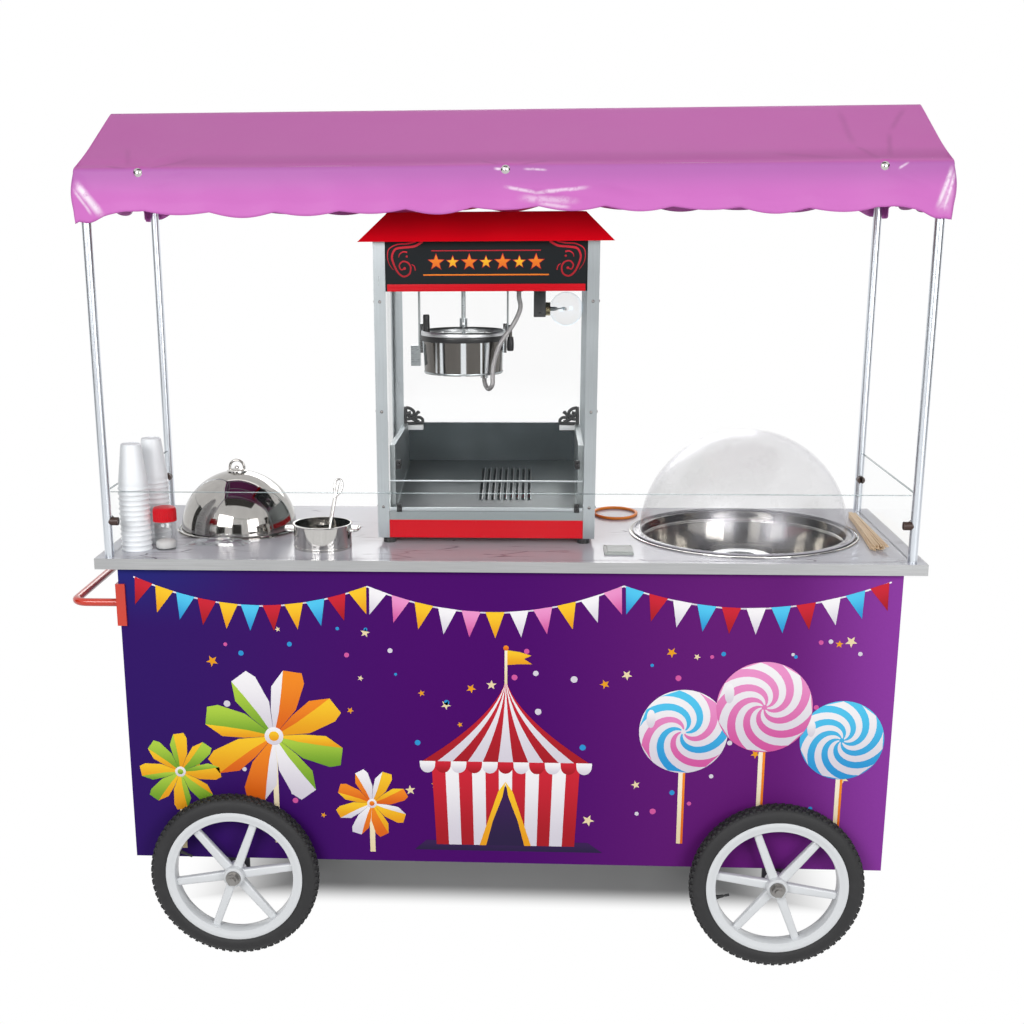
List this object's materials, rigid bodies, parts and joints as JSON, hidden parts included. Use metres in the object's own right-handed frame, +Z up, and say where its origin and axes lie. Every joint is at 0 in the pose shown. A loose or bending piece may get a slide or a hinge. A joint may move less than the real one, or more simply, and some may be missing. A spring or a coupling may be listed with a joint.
{
  "type": "cotton candy cart",
  "caption": "Wheeled street-food cart with a counter, glass guards and a gable canopy, carrying a candy spinner under a dome, a popcorn machine and a corn cooker.",
  "frame": {"origin": "on the floor under the middle of the cart's box, with the push handle counted in", "axes": "+Z up, -Y to the customers' side, +X to the candy bowl's end; the push handle is at -X"},
  "size_m": [1.875, 0.7228, 1.8809],
  "materials": {
    "frame_paint": "satin",
    "floor_sheet": "mill",
    "front_print": "gloss",
    "side_paint": "gloss",
    "track_metal": "brushed",
    "door_paint": "gloss",
    "black_plastic": "matte",
    "counter_laminate": "gloss",
    "edge_metal": "satin",
    "post_chrome": "polished",
    "frame_tube": "satin",
    "canopy_cloth": "coated, glossy",
    "stud_metal": "polished",
    "clear_glass": "clear",
    "clamp_rubber": "matte",
    "handle_paint": "powder coat",
    "axle_steel": "zinc",
    "wheel_white": "gloss",
    "tyre_rubber": "matte",
    "popper_red": "gloss",
    "popper_black": "satin",
    "corner_metal": "anodised",
    "steel": "brushed",
    "polished_steel": "polished",
    "lead_sleeve": "ribbed",
    "motor_paint": "satin",
    "lamp_parts": "clear bulb, dark holder",
    "clear_plastic": "clear",
    "belt_rubber": "matte",
    "cup_plastic": "matte",
    "shaker_parts": "clear jar, red cap",
    "stick_wood": "raw"
  },
  "bodies": {
    "cart": {"cart_frame": "frame_paint", "cabinet_floor": "floor_sheet", "front_panel": "front_print", "cabinet_panels": "side_paint", "door_tracks": "track_metal", "countertop": "counter_laminate", "counter_edge": "edge_metal", "canopy_posts": "post_chrome", "canopy_frame": "frame_tube", "canopy_cover": "canopy_cloth", "canopy_studs": "stud_metal", "glass_guards": "clear_glass", "glass_clamps": "clamp_rubber", "push_handle": "handle_paint", "handle_brackets": "handle_paint", "wheel_axles": "axle_steel", "axle_nuts": "axle_steel", "popper_base": "popper_red", "popper_feet": "black_plastic", "popper_corners": "corner_metal", "popper_tray": "steel", "popper_panes": "clear_glass", "popper_head": "popper_black", "popper_roof": "popper_red", "kettle_hangers": "steel", "kettle_lead": "lead_sleeve", "stir_motor": "motor_paint", "warming_lamp": "lamp_parts", "candy_bowl": "steel", "bearing_housing": "steel", "spin_motor": "motor_paint", "drive_belt": "belt_rubber", "corn_well": "polished_steel", "cup_stacks": "cup_plastic", "salt_shaker": "shaker_parts", "serving_pot": "polished_steel", "candy_sticks": "stick_wood"},
    "left_door": {"left_door": "door_paint"},
    "right_door": {"right_door": "door_paint"},
    "heat_knob": {"heat_knob": "black_plastic"},
    "popper_left_door": {"popper_left_door": "clear_glass"},
    "popper_right_door": {"popper_right_door": "clear_glass"},
    "crumb_drawer": {"crumb_drawer": "steel"},
    "kettle": {"kettle": "polished_steel", "kettle_grip": "black_plastic"},
    "kettle_lid": {"kettle_lid": "polished_steel"},
    "stirrer": {"stirrer": "steel"},
    "drive_shaft": {"drive_shaft": "steel"},
    "candy_dome": {"candy_dome": "clear_plastic"},
    "spinner": {"spinner": "polished_steel"},
    "motor_pulley": {"motor_pulley": "steel"},
    "corn_lid": {"corn_lid": "polished_steel"},
    "wheel_front_left": {"wheel_front_left": "wheel_white", "tyre_front_left": "tyre_rubber"},
    "wheel_front_right": {"wheel_front_right": "wheel_white", "tyre_front_right": "tyre_rubber"},
    "wheel_rear_left": {"wheel_rear_left": "wheel_white", "tyre_rear_left": "tyre_rubber"},
    "wheel_rear_right": {"wheel_rear_right": "wheel_white", "tyre_rear_right": "tyre_rubber"}
  },
  "joints": [
    {"name": "front_left_wheel_turn", "type": "hinge", "parent": "cart", "child": "wheel_front_left", "pos_m": [-0.5785, 0, 0.195], "axis": [0, 1, 0], "continuous": true},
    {"name": "front_right_wheel_turn", "type": "hinge", "parent": "cart", "child": "wheel_front_right", "pos_m": [0.6535, 0, 0.195], "axis": [0, 1, 0], "continuous": true},
    {"name": "rear_left_wheel_turn", "type": "hinge", "parent": "cart", "child": "wheel_rear_left", "pos_m": [-0.5785, 0, 0.195], "axis": [0, 1, 0], "continuous": true},
    {"name": "rear_right_wheel_turn", "type": "hinge", "parent": "cart", "child": "wheel_rear_right", "pos_m": [0.6535, 0, 0.195], "axis": [0, 1, 0], "continuous": true},
    {"name": "left_door_slide", "type": "slide", "parent": "cart", "child": "left_door", "axis": [1, 0, 0], "range_m": [0, 0.79]},
    {"name": "right_door_slide", "type": "slide", "parent": "cart", "child": "right_door", "axis": [-1, 0, 0], "range_m": [0, 0.79]},
    {"name": "heat_knob_turn", "type": "hinge", "parent": "cart", "child": "heat_knob", "pos_m": [0.2915, 0.28, 0.8685], "axis": [0, -1, 0], "range_deg": [0, 270]},
    {"name": "popper_left_door_swing", "type": "hinge", "parent": "cart", "child": "popper_left_door", "pos_m": [-0.2145, 0.2608, 1.3], "axis": [0, 0, 1], "range_deg": [0, 100]},
    {"name": "popper_right_door_swing", "type": "hinge", "parent": "cart", "child": "popper_right_door", "pos_m": [0.1995, 0.2608, 1.3], "axis": [0, 0, -1], "range_deg": [0, 100]},
    {"name": "crumb_drawer_slide", "type": "slide", "parent": "cart", "child": "crumb_drawer", "axis": [0, 1, 0], "range_m": [0, 0.25]},
    {"name": "kettle_tilt", "type": "hinge", "parent": "cart", "child": "kettle", "pos_m": [-0.0665, 0.07, 1.405], "axis": [-1, 0, 0], "range_deg": [0, 70], "deforming": ["kettle_lead"]},
    {"name": "kettle_lid_swing", "type": "hinge", "parent": "kettle", "child": "kettle_lid", "pos_m": [-0.0665, 0.084, 1.3892], "axis": [1, 0, 0], "range_deg": [0, 80]},
    {"name": "stirrer_turn", "type": "hinge", "parent": "kettle", "child": "stirrer", "pos_m": [-0.0665, 0.07, 1.355], "axis": [0, 0, 1], "continuous": true},
    {"name": "drive_shaft_turn", "type": "hinge", "parent": "cart", "child": "drive_shaft", "pos_m": [-0.0665, 0.07, 1.465], "axis": [0, 0, 1], "continuous": true},
    {"name": "candy_dome_lift", "type": "slide", "parent": "cart", "child": "candy_dome", "axis": [0, 0, 1], "range_m": [0, 0.35]},
    {"name": "spinner_turn", "type": "hinge", "parent": "cart", "child": "spinner", "pos_m": [0.5875, 0.01, 0.8], "axis": [0, 0, 1], "continuous": true},
    {"name": "motor_pulley_turn", "type": "hinge", "parent": "cart", "child": "motor_pulley", "pos_m": [0.4375, 0.01, 0.7], "axis": [0, 0, 1], "continuous": true},
    {"name": "corn_lid_lift", "type": "slide", "parent": "cart", "child": "corn_lid", "axis": [0, 0, 1], "range_m": [0, 0.25]}
  ],
  "couplings": [
    {"joint": "stirrer_turn", "follows": "drive_shaft_turn", "ratio": 1},
    {"joint": "motor_pulley_turn", "follows": "spinner_turn", "ratio": 1.6}
  ]
}
